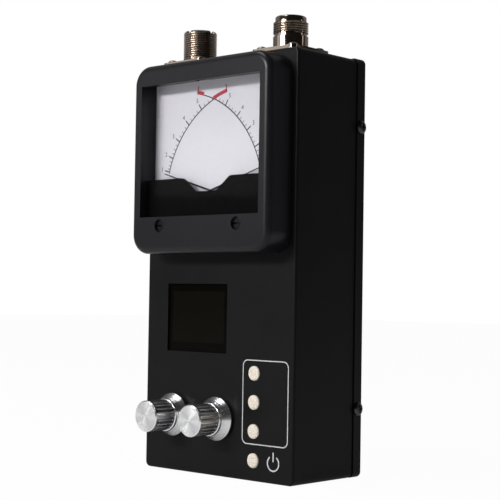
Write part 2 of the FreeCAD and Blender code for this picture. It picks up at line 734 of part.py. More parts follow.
def make_batteries():
    """Six cells side by side in an open tray on four legs from the board."""
    pitch = 2 * size("cell_round") + 0.5
    middle_y = face + 36.0
    low = 10.0
    inner_half = 1.5 * pitch + 0.3
    row_gap = 1.5
    top = low + CELL_ROWS * size("cell_long") + (CELL_ROWS - 1) * row_gap
    tray = block("tray_outer", -inner_half - 1.6, inner_half + 1.6, middle_y - 8.9, middle_y + 7.5,
                 low - 2.4, top + 2.4)
    hollow = block("tray_inner", -inner_half, inner_half, middle_y - 7.3, middle_y + 9,
                   low - 0.8, top + 0.8)
    board_rear = board_y + size("board_thick")
    open_tray = without("tray_open", tray, [hollow])
    legs = [rod("tray_leg_%d" % number, 3.0, middle_y - 8.9 - board_rear, side * 20, middle_y - 8.9,
                height, FORWARD)
            for number, (side, height) in enumerate([(-1, 14), (1, 14), (-1, 52), (1, 52)])]
    keep(joined("tray_whole", [open_tray] + legs), "battery_holder")
    cells = []
    for row in range(CELL_ROWS):
        foot = low + row * (size("cell_long") + row_gap)
        for step in range(CELLS_ACROSS):
            x = (step - 1) * pitch
            tag = "%d_%d" % (row, step)
            can = rod("cell_can_" + tag, size("cell_round"), size("cell_long") - 1.0, x, middle_y, foot)
            tip = rod("cell_tip_" + tag, 2.7, size("cell_long"), x, middle_y, foot)
            cells.append(joined("cell_" + tag, [can, tip]))
    keep(group("cell_group", cells), "battery_cells")


def make_flange(name, x):
    half = size("flange_side") / 2
    body = new_body(name)
    outline = sketch_on(body, "XY_Plane", case_top, name + "_outline")
    rectangle_in(outline, x - half, x + half, jack_y - half, jack_y + half)
    pad(body, outline, size("flange_thick"), name + "_plate")
    round_edges(body, lambda m, t: abs(t.z) > 0.9, 2.2, name + "_corners")
    holes = sketch_on(body, "XY_Plane", flange_top + 1, name + "_holes")
    for across in (-1, 1):
        for along in (-1, 1):
            circle_in(holes, x + across * size("flange_hole"),
                      jack_y + along * size("flange_hole"), size("flange_bore"))
    pocket(body, holes, size("flange_thick") + 2, name + "_holes_cut")
    return body


def make_jack(name, x, outer, bore, insulator, contact):
    """A flanged coaxial jack: nickel shell, white insulator and sprung centre contact."""
    shell = turned(name + "_barrel", outer, x, jack_y, 0)
    blank = joined(name + "_blank", [make_flange(name + "_flange", x), shell])
    hollow = turned(name + "_hollow", bore, x, jack_y, 0)
    return blank, hollow, turned(name + "_insulator_body", insulator, x, jack_y, 0), \
        turned(name + "_contact_body", contact, x, jack_y, 0)


def make_so239():
    x = -size("jack_place")
    top = size("jack_high")
    crest = size("thread_round")
    shelf = top - 1.4
    outer = [(0, jack_foot), (6.0, jack_foot), (6.0, case_top + 0.2), (crest - 0.5, flange_top - 0.2),
             (crest - 0.5, flange_top + 1.4), (crest, flange_top + 1.7), (crest, top - 0.8),
             (crest - 0.6, top), (0, top)]
    bore = [(0, case_top - 10), (4.0, case_top - 10), (4.0, top - 9.5), (6.4, top - 9.5),
            (6.4, top + 1), (0, top + 1)]
    insulator = [(2.6, jack_foot), (4.0, jack_foot), (4.0, top - 9.5), (6.4, top - 9.5),
                 (6.4, shelf), (2.6, shelf)]
    contact = [(0, tail_end), (1.3, tail_end), (1.3, case_top - 10), (2.6, case_top - 10),
               (2.6, shelf + 0.5), (2.0, shelf + 0.5), (2.0, shelf - 10), (0, shelf - 10)]
    blank, hollow, insulator_body, contact_body = make_jack("so239", x, outer, bore, insulator, contact)
    half = size("notch_half")
    notches = [block("so239_notch_x", x - 10, x + 10, jack_y - half, jack_y + half, top - 1.2, top + 1),
               block("so239_notch_y", x - half, x + half, jack_y - 10, jack_y + 10, top - 1.2, top + 1)]
    keep(without("so239_whole", blank, [hollow] + notches), "so239_shell")
    keep(insulator_body, "so239_insulator")
    keep(contact_body, "so239_contact")


def make_n_jack():
    x = size("jack_place")
    top = size("jack_high")
    crest = size("thread_round")
    outer = [(0, jack_foot), (6.0, jack_foot), (6.0, case_top + 0.2), (crest, flange_top - 0.2),
             (crest, top - 9.1), (crest - 0.7, top - 8.9), (crest - 0.7, top - 7.9),
             (crest, top - 7.7), (crest, top - 2.9), (crest - 0.9, top - 2.5), (crest - 0.9, top - 0.4),
             (crest - 1.3, top), (0, top)]
    bore = [(0, case_top - 10), (3.0, case_top - 10), (3.0, top - 9.2), (4.2, top - 9.2),
            (4.2, top - 1.0), (5.4, top - 0.6), (5.4, top + 1), (0, top + 1)]
    insulator = [(1.55, jack_foot), (3.0, jack_foot), (3.0, top - 9.2), (1.55, top - 9.2)]
    contact = [(0, tail_end), (1.55, tail_end), (1.55, top - 4.6), (0.85, top - 4.6),
               (0.85, top - 9), (0, top - 9)]
    blank, hollow, insulator_body, contact_body = make_jack("n", x, outer, bore, insulator, contact)
    keep(without("n_whole", blank, [hollow]), "n_shell")
    keep(insulator_body, "n_insulator")
    keep(contact_body, "n_contact")


def make_flange_screws(name, x):
    screws = []
    for across in (-1, 1):
        for along in (-1, 1):
            tag = "%s_%d_%d" % (name, across + 1, along + 1)
            screws.append(pan_screw(tag, 2.3, 1.5, 1.25, 5.5, x + across * size("flange_hole"),
                                    jack_y + along * size("flange_hole"), flange_top, UPRIGHT))
    keep(group(name + "_group", screws), name)


def make_everything():
    make_front_case()
    make_rear_cover()
    make_side_screws()
    make_meter_case()
    make_meter_lens()
    make_meter_dial()
    make_meter_mask()
    make_movement("movement_left", -1)
    make_movement("movement_right", 1)
    make_needle("needle_from_left", -1, 0.9)
    make_needle("needle_from_right", 1, -0.3)
    make_adjuster("zero_adjuster_left", -1)
    make_adjuster("zero_adjuster_right", 1)
    make_meter_nuts()
    make_display()
    make_knob("band_knob", size("band_place"), 24)
    make_knob("tune_knob", size("tune_place"), 24)
    make_control("band_switch", "band_knob", size("band_place"), True)
    make_control("tune_control", "tune_knob", size("tune_place"), False)
    for step, name in enumerate(BUTTONS):
        make_button(name, step)
    make_tact_switches()
    make_board()
    make_shield()
    make_batteries()
    make_so239()
    make_n_jack()
    make_flange_screws("so239_screws", -size("jack_place"))
    make_flange_screws("n_screws", size("jack_place"))


def check_everything():
    """Stop if any object failed, before a file is written."""
    doc.recompute()
    for obj in doc.Objects:
        if "Invalid" in obj.State or "Error" in obj.State:
            raise RuntimeError("failed: %s %s" % (obj.Name, obj.State))
    for piece in PIECES:
        shape = piece.Shape
        if shape.isNull() or not shape.isValid() or shape.Volume <= 0:
            raise RuntimeError("bad shape: " + piece.Label)
    labels = [piece.Label for piece in PIECES]
    if len(set(labels)) != len(labels):
        raise RuntimeError("two pieces share a name")


make_everything()
check_everything()
os.makedirs("parts", exist_ok=True)
for piece in PIECES:
    piece.Shape.exportStep("parts/%s.step" % piece.Label)
    print("%-22s solids %d volume %9.1f" % (piece.Label, len(piece.Shape.Solids), piece.Shape.Volume))
print("pieces", len(PIECES))
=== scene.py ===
# %% [markdown]
# An antenna analyzer: a black metal box with a cross-needle meter, two spun knobs, four
# buttons and two coaxial jacks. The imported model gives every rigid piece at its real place,
# so this lesson adds what a solid model leaves out: finishes, printing, threads, screw
# recesses, and the light that lets black things be read against white.

# %% Load the frame
import math
import bmesh
import bpy
from mathutils import Matrix, Vector


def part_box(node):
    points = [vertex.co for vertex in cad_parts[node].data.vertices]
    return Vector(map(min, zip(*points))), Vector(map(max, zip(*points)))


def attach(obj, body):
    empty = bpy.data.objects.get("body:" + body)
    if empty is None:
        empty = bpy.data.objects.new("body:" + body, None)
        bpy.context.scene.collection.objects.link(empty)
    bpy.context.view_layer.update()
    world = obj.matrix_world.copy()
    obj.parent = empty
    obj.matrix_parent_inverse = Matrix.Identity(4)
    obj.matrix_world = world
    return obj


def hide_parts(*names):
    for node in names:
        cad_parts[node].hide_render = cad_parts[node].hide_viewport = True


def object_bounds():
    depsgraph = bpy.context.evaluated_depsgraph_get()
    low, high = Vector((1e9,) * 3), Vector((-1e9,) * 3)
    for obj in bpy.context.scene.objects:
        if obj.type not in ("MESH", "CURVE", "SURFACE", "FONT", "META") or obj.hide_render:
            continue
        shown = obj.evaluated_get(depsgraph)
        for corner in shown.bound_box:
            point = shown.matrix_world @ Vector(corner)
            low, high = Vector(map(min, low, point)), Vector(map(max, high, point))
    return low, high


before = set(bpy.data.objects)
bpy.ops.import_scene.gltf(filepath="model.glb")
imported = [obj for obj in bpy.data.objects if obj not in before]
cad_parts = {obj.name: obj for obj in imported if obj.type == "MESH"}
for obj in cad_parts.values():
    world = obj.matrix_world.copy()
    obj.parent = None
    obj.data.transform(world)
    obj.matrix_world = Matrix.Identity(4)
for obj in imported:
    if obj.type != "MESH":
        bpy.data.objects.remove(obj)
cad_box = [list(corner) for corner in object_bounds()]
MM = 0.001
print("model box", cad_box)

# %% [markdown]
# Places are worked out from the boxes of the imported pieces, so a change of the case moves
# what stands on it. The front faces minus Y and Z is up.

# %% Places read from the frame
case_low, case_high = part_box("front_case")
cover_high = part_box("rear_cover")[1]
panel_y = case_low.y
dial_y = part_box("meter_dial")[0].y
window_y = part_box("display_window")[0].y


def middle_of(name):
    low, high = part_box(name)
    return (low + high) / 2


band_middle = middle_of("band_knob")
tune_middle = middle_of("tune_knob")
so239_middle = middle_of("so239_contact")
n_middle = middle_of("n_contact")
print("panel face at", round(panel_y / MM, 2), "mm, dial at", round(dial_y / MM, 2), "mm")

# %% [markdown]
# The photographer stood to the right of the panel, a little below the middle of the box,
# with a long lens. The camera is built from those facts: a place, a direction as two
# angles, a small roll, and the focal length that gives the photograph's frame.

# %% Camera
CAMERA_PLACE = Vector((409.61, -451.95, 82.66)) * MM
CAMERA_TURN = math.radians(42.35)
CAMERA_RISE = math.radians(1.89)
CAMERA_ROLL = math.radians(0.89)
FOCAL_PIXELS = 1306.68
FRAME_PIXELS = 500
SENSOR = 36
NEAREST = 10 * MM
camera_data = bpy.data.cameras.new("camera")
camera_data.sensor_width = SENSOR
camera_data.lens = SENSOR * FOCAL_PIXELS / FRAME_PIXELS
camera_data.clip_start = NEAREST
camera = bpy.data.objects.new("camera", camera_data)
bpy.context.scene.collection.objects.link(camera)
turned = Matrix.Rotation(CAMERA_TURN, 4, "Z")
raised = Matrix.Rotation(math.pi / 2 + CAMERA_RISE, 4, "X")
rolled = Matrix.Rotation(CAMERA_ROLL, 4, "Z")
camera.matrix_world = Matrix.Translation(CAMERA_PLACE) @ turned @ raised @ rolled
bpy.context.scene.camera = camera
print("lens", round(camera_data.lens, 1), "mm")

# %% [markdown]
# Shader maths reads best as plain expressions, so one small class wraps a socket. Adding
# or multiplying two of them lays down the Math node that does it, and the reflected forms
# let a number stand on the left, as in 1 - mask.

# %% A socket that does arithmetic
class Wire:
    def __init__(self, tree, socket):
        self.tree = tree
        self.socket = socket

    def math(self, operation, *others):
        node = self.tree.nodes.new("ShaderNodeMath")
        node.operation = operation
        for slot, value in zip(node.inputs, (self,) + others):
            feed(self.tree, slot, value)
        return Wire(self.tree, node.outputs[0])

    def __add__(self, other):
        return self.math("ADD", other)

    def __radd__(self, other):
        return self.math("ADD", other)

    def __sub__(self, other):
        return self.math("SUBTRACT", other)

    def __rsub__(self, other):
        return (self * -1) + other

    def __mul__(self, other):
        return self.math("MULTIPLY", other)

    def __rmul__(self, other):
        return self.math("MULTIPLY", other)

    def clamp(self):
        return self.math("MAXIMUM", 0).math("MINIMUM", 1)


def feed(tree, slot, value):
    """Put a number, a colour or a wire into a node's input."""
    if isinstance(value, Wire):
        tree.links.new(value.socket, slot)
    elif slot.type == "RGBA" and len(value) == 3:
        slot.default_value = (*value, 1)
    else:
        slot.default_value = value

# %% [markdown]
# A finish is one Principled shader with the nodes that vary it. Every pattern reads Object
# coordinates, which stay with a piece when its joint moves, because each object's origin is
# the frame's own origin. What is the same all over a surface is set on the shader itself.
# The Mix node has sockets of one name for numbers, vectors and colours, so its colour ones
# are told apart by their places in the node's list.

# %% A finish under construction
MIX_AMOUNT, MIX_FIRST, MIX_SECOND, MIX_RESULT = 0, 6, 7, 2


class Finish:
    def __init__(self, name):
        self.material = bpy.data.materials.new(name)
        self.material.use_nodes = True
        self.tree = self.material.node_tree
        self.shader = self.tree.nodes["Principled BSDF"]

    def node(self, kind, settings=None, inputs=None, output=0):
        made = self.tree.nodes.new(kind)
        for key, value in (settings or {}).items():
            setattr(made, key, value)
        for key, value in (inputs or {}).items():
            feed(self.tree, made.inputs[key], value)
        return Wire(self.tree, made.outputs[output])

    def set(self, **values):
        """Set the shader's own inputs, their names written with underscores."""
        for key, value in values.items():
            feed(self.tree, self.shader.inputs[key.replace("_", " ")], value)
        return self

    def place(self):
        return self.node("ShaderNodeTexCoord", output="Object")

    def axes(self):
        """The three object coordinates as wires."""
        split = self.node("ShaderNodeSeparateXYZ", inputs={"Vector": self.place()})
        return [Wire(self.tree, socket) for socket in split.socket.node.outputs]

    def noise(self, scale, detail=3):
        """Soft clouds, so many to the metre."""
        inputs = {"Vector": self.place(), "Scale": scale, "Detail": detail}
        return self.node("ShaderNodeTexNoise", inputs=inputs)

    def mix(self, amount, first, second):
        inputs = {MIX_AMOUNT: amount, MIX_FIRST: first, MIX_SECOND: second}
        return self.node("ShaderNodeMix", {"data_type": "RGBA"}, inputs, MIX_RESULT)

    def bump(self, height, depth, strength):
        inputs = {"Height": height, "Distance": depth, "Strength": strength}
        return self.set(Normal=self.node("ShaderNodeBump", inputs=inputs))


def shade(colour, factor):
    return tuple(part * factor for part in colour)


def dress(finish, *names):
    """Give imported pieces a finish."""
    for name in names:
        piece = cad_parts[name]
        piece.data.materials.clear()
        piece.data.materials.append(finish.material)
    print(finish.material.name, "on", len(names), "pieces")

# %% [markdown]
# The box is folded sheet with a baked satin paint. Such paint has a very fine orange-peel
# surface and is a touch uneven in gloss, and both soften its grey reflections. The base is
# nearly black, so almost all of its look is in the roughness and the bump.

# %% Painted metal
PAINT_CLOUDS = 55
PAINT_PEEL = 1500
PEEL_DEPTH = 0.02 * MM
PAINT_SPECULAR = 0.12


def paint(name, colour, roughness):
    finish = Finish(name)
    mottle = finish.noise(PAINT_CLOUDS, detail=4)
    peel = finish.noise(PAINT_PEEL, detail=2)
    finish.set(Base_Color=finish.mix(mottle, shade(colour, 0.8), shade(colour, 1.2)),
               Roughness=mottle * 0.12 + peel * 0.06 + (roughness - 0.09),
               Specular_IOR_Level=PAINT_SPECULAR)
    return finish.bump(peel, PEEL_DEPTH, 0.5)


dress(paint("case_paint", (0.0046, 0.0046, 0.0051), 0.40), "front_case")
dress(paint("cover_paint", (0.0046, 0.0046, 0.0050), 0.42), "rear_cover")

# %% [markdown]
# The meter's housing and bezel are one moulding in dark grey plastic with a faint spark
# grain, a step paler and a little glossier than the paint behind it. The same recipe makes
# the other plastics: the colour, the gloss, the depth of the grain and the size of the
# cloudy patches are all that change. The cream buttons are the only speckled ones.

# %% Moulded plastics
SPARK_DEPTH = 0.03 * MM
POLISHED_DEPTH = 0.004 * MM
BUTTON_DEPTH = 0.10 * MM


def plastic(name, colour, roughness, grain=900, depth=SPARK_DEPTH, spread=0.12, gloss=0.4, patch=40):
    finish = Finish(name)
    spark = finish.noise(grain)
    cloud = finish.noise(patch)
    finish.set(Base_Color=finish.mix(cloud, shade(colour, 1 - spread), shade(colour, 1 + spread)),
               Roughness=spark * 0.12 + cloud * 0.08 + (roughness - 0.10),
               Specular_IOR_Level=gloss)
    return finish.bump(spark, depth, 0.5)


dress(plastic("meter_plastic", (0.0085, 0.0085, 0.0108), 0.32, gloss=0.22), "meter_case")
dress(plastic("mask_plastic", (0.0020, 0.0020, 0.0020), 0.20, depth=POLISHED_DEPTH, gloss=0.03),
      "meter_mask")
dress(plastic("adjuster_plastic", (0.004, 0.004, 0.004), 0.18, depth=POLISHED_DEPTH, gloss=0.5),
      "zero_adjuster_left", "zero_adjuster_right")
dress(plastic("button_cream", (0.70, 0.63, 0.54), 0.5, grain=600, depth=BUTTON_DEPTH,
              spread=0.60, patch=1500),
      "power_button", "button_1", "button_2", "button_3")
dress(plastic("switch_plastic", (0.02, 0.02, 0.02), 0.5), "tact_switches")
dress(plastic("holder_plastic", (0.012, 0.012, 0.012), 0.5), "battery_holder")
dress(plastic("cell_wrap", (0.05, 0.07, 0.10), 0.3), "battery_cells")
dress(plastic("white_insulator", (0.80, 0.80, 0.76), 0.45), "so239_insulator", "n_insulator")
dress(plastic("circuit_card", (0.01, 0.08, 0.035), 0.35), "main_board", "display_module")
dress(plastic("needle_paint", (0.004, 0.004, 0.004), 0.5, gloss=0.2),
      "needle_from_left", "needle_from_right")

# %% [markdown]
# Metals differ by colour and by the marks their making leaves. Plated and plain parts alike
# get a cloudy gloss. One recipe with a colour and a roughness is enough for them all.

# %% Metals
METAL_CLOUDS = 300


def metal(name, colour, roughness, spread=0.1):
    finish = Finish(name)
    marks = finish.noise(METAL_CLOUDS, detail=4)
    return finish.set(Base_Color=finish.mix(marks, shade(colour, 1 - spread), colour),
                      Metallic=1.0, Roughness=marks * 0.12 + (roughness - 0.05))


dress(metal("zinc_steel", (0.55, 0.55, 0.53), 0.32),
      "band_shaft", "tune_shaft", "band_nut", "tune_nut", "meter_nuts", "board_screws")
dress(metal("control_metal", (0.5, 0.5, 0.5), 0.35),
      "band_switch", "tune_control", "movement_left", "movement_right", "shield_can")
dress(metal("brass", (0.62, 0.45, 0.18), 0.3), "board_spacers")
dress(metal("gold_contact", (0.80, 0.58, 0.24), 0.22), "so239_contact", "n_contact")
nickel = metal("nickel", (0.38, 0.315, 0.26), 0.12, spread=0.14)
dress(nickel, "so239_shell", "n_shell")
nickel_screw = metal("nickel_screw", (0.42, 0.39, 0.35), 0.24)
dress(nickel_screw, "so239_screws", "n_screws")
black_screw = metal("black_screw", (0.075, 0.075, 0.078), 0.30)
dress(black_screw, "side_screws")

# %% [markdown]
# The two knobs are turned from aluminium, and the lathe leaves rings on their faces. The
# rings could be grooves in the mesh, but they are far too fine, so they are a bump: a sine
# of the distance from the knob's own axis, which the frame gives. They stretch each
# highlight into the bright bow tie that turned metal shows.

# %% Turned knobs
KNOB_METAL = (0.92, 0.92, 0.93)
KNOB_ROUGHNESS = 0.25
KNOB_CLOUDS = 900
RING_PITCH = 0.22 * MM
RING_DEPTH = 0.04 * MM


def turned_metal(name, axis):
    finish = Finish(name)
    x, _, z = finish.axes()
    across = x - axis.x
    up = z - axis.z
    reach = (across * across + up * up).math("SQRT")
    rings = (reach * (2 * math.pi / RING_PITCH)).math("SINE")
    marks = finish.noise(KNOB_CLOUDS, detail=4)
    finish.set(Base_Color=finish.mix(marks, shade(KNOB_METAL, 0.88), KNOB_METAL),
               Metallic=1.0, Roughness=marks * 0.10 + (KNOB_ROUGHNESS - 0.05))
    return finish.bump(rings, RING_DEPTH, 0.35)


dress(turned_metal("band_spun_aluminium", band_middle), "band_knob")
dress(turned_metal("tune_spun_aluminium", tune_middle), "tune_knob")

# %% [markdown]
# The dial is a printed metal plate, almost white with a cool lavender cast. The grey band
# at its top edge in the photograph is the bezel's own shadow, so no shade is painted: the
# key lamp throws it. The lens is thin clear acrylic, and the small display is dark glass.

# %% Dial, inks, glass and lens
DISPLAY_SPECULAR = 0.03


def plain(name, colour, roughness, grain=500):
    finish = Finish(name)
    tooth = finish.noise(grain, detail=2)
    return finish.set(Base_Color=finish.mix(tooth, shade(colour, 0.96), shade(colour, 1.04)),
                      Roughness=tooth * 0.1 + (roughness - 0.05))


dress(plain("dial_face", (0.72, 0.705, 0.76), 0.6), "meter_dial")
black_ink = plain("black_ink", (0.012, 0.012, 0.014), 0.6)
red_ink = plain("red_ink", (0.42, 0.026, 0.045), 0.6)
white_ink = plain("white_ink", (0.52, 0.52, 0.53), 0.55)

display_glass = plain("display_glass", (0.0026, 0.0023, 0.0018), 0.12, grain=60)
display_glass.set(Specular_IOR_Level=DISPLAY_SPECULAR)
dress(display_glass, "display_window")

clear = Finish("clear_lens")
smear = clear.noise(90, detail=4)
clear.set(Base_Color=(0.02, 0.02, 0.022), Roughness=smear * 0.02 + 0.02, Alpha=0.05)
dress(clear, "meter_lens")

# %% [markdown]
# A piece starts as a bmesh and ends as an object that rides on a body. A closed shape has
# its faces turned outwards and is shaded smooth up to an angle, past which an edge stays
# sharp. Flat print has no inside, so its faces are simply turned to the viewer.

# %% From a bmesh to a piece
def finish_piece(mesh, name, finish, body="case"):
    """Turn a bmesh into a piece that rides on a body."""
    data = bpy.data.meshes.new(name)
    mesh.to_mesh(data)
    mesh.free()
    data.materials.append(finish.material)
    piece = bpy.data.objects.new(name, data)
    bpy.context.scene.collection.objects.link(piece)
    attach(piece, body)
    print(name, len(data.polygons), "faces")
    return piece


def solid_piece(mesh, name, finish, sharp):
    """A closed shape, its edges kept sharp past an angle in degrees."""
    bmesh.ops.recalc_face_normals(mesh, faces=mesh.faces[:])
    piece = finish_piece(mesh, name, finish)
    piece.data.shade_smooth()
    piece.data.set_sharp_from_angle(angle=math.radians(sharp))
    return piece


def printed_piece(mesh, name, ink):
    """Flat print that faces minus Y."""
    mesh.normal_update()
    backward = [face for face in mesh.faces if face.normal.y > 0]
    bmesh.ops.reverse_faces(mesh, faces=backward)
    return finish_piece(mesh, name, ink)

# %% [markdown]
# Printing has almost no thickness, but it must not share a plane with what it is printed
# on, so each mark is a flat strip a few hundredths of a millimetre proud. A strip is two
# rows of points with a bridge between them, and straight bars, arcs and rounded frames are
# all made by that one helper. Print rides on the case, which carries both panel and dial.

# %% Strips, arcs and bars
PROUD = 0.03 * MM


def strip(mesh, inner, outer, y, closed=False):
    """A flat ribbon facing the viewer between two rows of (x, z) points in millimetres."""
    rails = []
    for row in (inner, outer):
        verts = [mesh.verts.new((x * MM, y, z * MM)) for x, z in row]
        after = verts[1:] + verts[:1] if closed else verts[1:]
        rails += [mesh.edges.new(pair) for pair in zip(verts, after)]
    bmesh.ops.bridge_loops(mesh, edges=rails)


def arc_points(centre, radius, start, end, steps):
    """Points in millimetres along an arc, its angles in degrees from plus X."""
    points = []
    for step in range(steps + 1):
        angle = math.radians(start + (end - start) * step / steps)
        points.append((centre[0] + radius * math.cos(angle), centre[1] + radius * math.sin(angle)))
    return points


def arc_strip(mesh, centre, radius, width, start, end, y, steps=40):
    strip(mesh, arc_points(centre, radius - width / 2, start, end, steps),
          arc_points(centre, radius + width / 2, start, end, steps), y)


def bar(mesh, start, end, width, y):
    """A straight stroke from one (x, z) point to another."""
    along = Vector((end[0] - start[0], end[1] - start[1])).normalized()
    side = Vector((-along.y, along.x)) * width / 2
    strip(mesh, [(start[0] + side.x, start[1] + side.y), (end[0] + side.x, end[1] + side.y)],
          [(start[0] - side.x, start[1] - side.y), (end[0] - side.x, end[1] - side.y)], y)

# %% [markdown]
# A cross-needle meter has one arc for each needle, and each arc is centred on the pivot of
# the needle that sweeps it, on the opposite side. So the left scale is drawn round the
# right pivot. A thick red stroke with an upturned tail marks the end of each scale.

# %% Dial arcs and red ends
PIVOT = 19.5
PIVOT_HIGH = 124.5
SCALE_RADIUS = 49.8
SCALE_START = 15.5
ARC_WIDE = 0.52
RED_STRETCH = {-1: (75.0, 79.8), 1: (66.5, 76.5)}
RED_OUT = 0.6
RED_WIDE = 1.7
TAIL_LONG = 3.4
TAIL_WIDE = 0.6
dial_print_y = dial_y - PROUD
red_print_y = dial_print_y - PROUD


def scale_angle(side, angle):
    """Mirror an angle for the scale whose centre is on the right."""
    return angle if side < 0 else 180 - angle


def point_at(side, angle, radius):
    """The (x, z) point at an angle and a radius from the pivot on a side."""
    turn = math.radians(scale_angle(side, angle))
    return (side * PIVOT + radius * math.cos(turn), PIVOT_HIGH + radius * math.sin(turn))


scales = bmesh.new()
reds = bmesh.new()
for side in (-1, 1):
    centre = (side * PIVOT, PIVOT_HIGH)
    red_start, red_end = RED_STRETCH[side]
    last_angle = scale_angle(side, red_end)
    arc_strip(scales, centre, SCALE_RADIUS, ARC_WIDE, scale_angle(side, SCALE_START), last_angle,
              dial_print_y)
    arc_strip(reds, centre, SCALE_RADIUS + RED_OUT, RED_WIDE, scale_angle(side, red_start), last_angle,
              red_print_y, steps=12)
    bar(reds, point_at(side, red_end, SCALE_RADIUS), point_at(side, red_end, SCALE_RADIUS + TAIL_LONG),
        TAIL_WIDE, red_print_y)
print("scales drawn round", 2 * PIVOT, "mm of pivots")

# %% [markdown]
# Ticks stand outside the arcs, evenly on the right scale and a little crowded at the foot
# of the left one, which a power of the step does. Every fourth is a long one with a number.

# %% Dial ticks
TICK_START = 16.3
TICK_SPAN = 49.4
TICK_COUNT = 20
TICK_CROWDING = {-1: 1.0, 1: 1.2}
TICKS_TO_A_NUMBER = 4
LONG_TICK, LONG_TICK_WIDE = 3.0, 0.55
SHORT_TICK, SHORT_TICK_WIDE = 1.5, 0.28
NUMBER_OUT = 5.0

numbers = []
for side in (-1, 1):
    for step in range(TICK_COUNT):
        angle = TICK_START + TICK_SPAN * (step / (TICK_COUNT - 1)) ** TICK_CROWDING[side]
        numbered = step % TICKS_TO_A_NUMBER == 0
        reach, width = (LONG_TICK, LONG_TICK_WIDE) if numbered else (SHORT_TICK, SHORT_TICK_WIDE)
        bar(scales, point_at(side, angle, SCALE_RADIUS), point_at(side, angle, SCALE_RADIUS + reach),
            width, dial_print_y)
        if numbered:
            label = str(step // TICKS_TO_A_NUMBER + 1)
            numbers.append((label, point_at(side, angle, SCALE_RADIUS + NUMBER_OUT)))
printed_piece(scales, "dial_scales", black_ink)
printed_piece(reds, "dial_red_ends", red_ink)

# %% [markdown]
# Plain numbers count the long ticks. Text in Blender is a curve. It is turned into a mesh
# before it is placed, because the export puts every object back at the origin, and the
# place has to be in the mesh.

# %% Dial numbers
FACE_FRONT = Matrix.Rotation(math.pi / 2, 4, "X")
NUMBER_HIGH = 2.9


def number_mesh(text, spot):
    curve = bpy.data.curves.new("number", "FONT")
    curve.body = text
    curve.size = NUMBER_HIGH * MM
    curve.align_x = "CENTER"
    curve.align_y = "CENTER"
    holder = bpy.data.objects.new("number", curve)
    data = bpy.data.meshes.new_from_object(holder)
    data.transform(Matrix.Translation((spot[0] * MM, dial_print_y, spot[1] * MM)) @ FACE_FRONT)
    bpy.data.objects.remove(holder)
    return data


digits = bmesh.new()
for text, spot in numbers:
    digits.from_mesh(number_mesh(text, spot))
printed_piece(digits, "dial_numbers", black_ink)

# %% [markdown]
# The panel's printing is white: a plain line that frames three of the buttons. It could be
# a bevelled curve, but a closed strip whose corners are quarter arcs has the right sharp
# edges and far fewer faces.

# %% The line round the buttons
panel_print_y = panel_y - PROUD
FRAME_LEFT, FRAME_RIGHT = 16.3, 42.7
FRAME_LOW, FRAME_HIGH = 16.3, 53.1
FRAME_CORNER = 2.6
CORNER_STEPS = 8
LINE = 0.46


def frame_outline(grow):
    """The rounded frame's outline, moved outwards by a distance."""
    points = []
    corners = [(FRAME_RIGHT, FRAME_HIGH, 0), (FRAME_LEFT, FRAME_HIGH, 90),
               (FRAME_LEFT, FRAME_LOW, 180), (FRAME_RIGHT, FRAME_LOW, 270)]
    for x, z, start in corners:
        centre = (x + (-FRAME_CORNER if x == FRAME_RIGHT else FRAME_CORNER),
                  z + (-FRAME_CORNER if z == FRAME_HIGH else FRAME_CORNER))
        points += arc_points(centre, FRAME_CORNER + grow, start, start + 90, CORNER_STEPS)
    return points


button_frame = bmesh.new()
strip(button_frame, frame_outline(-LINE / 2), frame_outline(LINE / 2), panel_print_y, closed=True)
printed_piece(button_frame, "button_frame_line", white_ink)

# %% [markdown]
# The standby sign beside the fourth button is a ring with a gap at its top and a bar that
# stands in the gap. The arc's angles run past a full turn, so that the gap is in one piece.

# %% Standby sign
SIGN_X, SIGN_Z = 34.7, 8.9
SIGN_RADIUS = 3.25
SIGN_LINE = 0.65
RING_START, RING_END = 125, 415
BAR_LOW, BAR_HIGH = 0.7, 4.8
standby = bmesh.new()
arc_strip(standby, (SIGN_X, SIGN_Z), SIGN_RADIUS, SIGN_LINE, RING_START, RING_END, panel_print_y)
bar(standby, (SIGN_X, SIGN_Z + BAR_LOW), (SIGN_X, SIGN_Z + BAR_HIGH), SIGN_LINE, panel_print_y)
printed_piece(standby, "standby_sign", white_ink)

# %% [markdown]
# Behind the display's glass lies the panel of the display itself, a shade lighter than the
# dark border. It is set on the glass as a thin printed field, which is all that shows while
# the display is off.

# %% Display field
FIELD_LEFT, FIELD_RIGHT = -29.6, 3.2
FIELD_LOW, FIELD_HIGH = 59.6, 83.2
field = bmesh.new()
strip(field, [(FIELD_LEFT, FIELD_LOW), (FIELD_RIGHT, FIELD_LOW)],
      [(FIELD_LEFT, FIELD_HIGH), (FIELD_RIGHT, FIELD_HIGH)], window_y - PROUD)
field_finish = plain("display_field", (0.0050, 0.0045, 0.0034), 0.14, grain=60)
field_finish.set(Specular_IOR_Level=DISPLAY_SPECULAR)
printed_piece(field, "display_field", field_finish)

# %% [markdown]
# The jacks' coupling threads are what a plug screws onto. In the solid model they are plain
# cylinders, so each shell is remade here: a profile is spun once round, and the rings of
# the threaded stretch are then moved in by a wave that advances one pitch a turn. The wave
# is a squared cosine, flat on the crest and round in the root, so the metal keeps the tall
# bright stripe of the key, cut by fine dark lines, and twelve rows a pitch shade smoothly.

# %% Spinning a shell
SEGMENTS = 128
WELD = 0.001 * MM
CREST = 7.94
THREAD_PITCH = 1.058
THREAD_DEPTH = 0.60
THREAD_ROWS = 12
THREAD_FADE = 0.5
SHELL_SHARP = 60


def spin_round(mesh, verts, edges, steps):
    """Spin points and edges once round the Z axis."""
    bmesh.ops.spin(mesh, geom=verts + edges, cent=(0, 0, 0), axis=(0, 0, 1), dvec=(0, 0, 0),
                   angle=2 * math.pi, steps=steps, use_merge=True)


